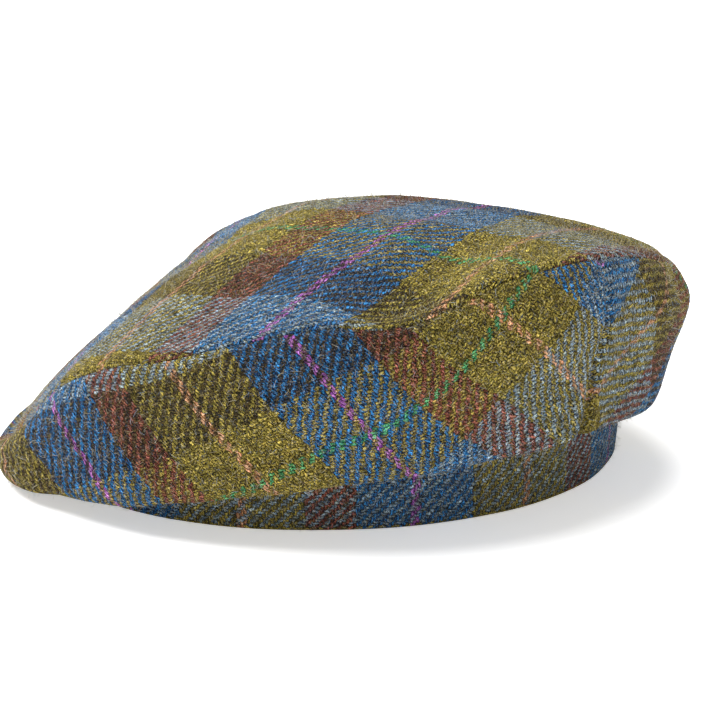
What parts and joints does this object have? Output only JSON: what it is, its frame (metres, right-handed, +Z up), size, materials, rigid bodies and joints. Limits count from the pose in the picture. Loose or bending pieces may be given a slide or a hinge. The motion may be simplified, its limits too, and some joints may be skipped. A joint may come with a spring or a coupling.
{
  "type": "plaid wool tam o shanter hat",
  "caption": "Soft round wool hat in plaid tweed: a disc top over bias side panels that fold under to a snug straight headband, drooping to one side.",
  "frame": {"origin": "middle of the hat's footprint, on the surface that it rests on", "axes": "+Z up out of the surface, +X to the raised side of the crown, -Y towards the viewer of the picture"},
  "size_m": [0.2392, 0.2344, 0.0891],
  "materials": {
    "crown_top": "fulled wool twill, plaid, soft nap",
    "side_front": "fulled wool twill, plaid cut on the bias, soft nap",
    "side_back": "fulled wool twill, plaid cut on the bias, soft nap",
    "headband": "fulled wool twill, plaid cut straight, doubled"
  },
  "bodies": {
    "root": {"crown_top": "crown_top", "side_front": "side_front", "side_back": "side_back", "headband": "headband"}
  },
  "joints": []
}
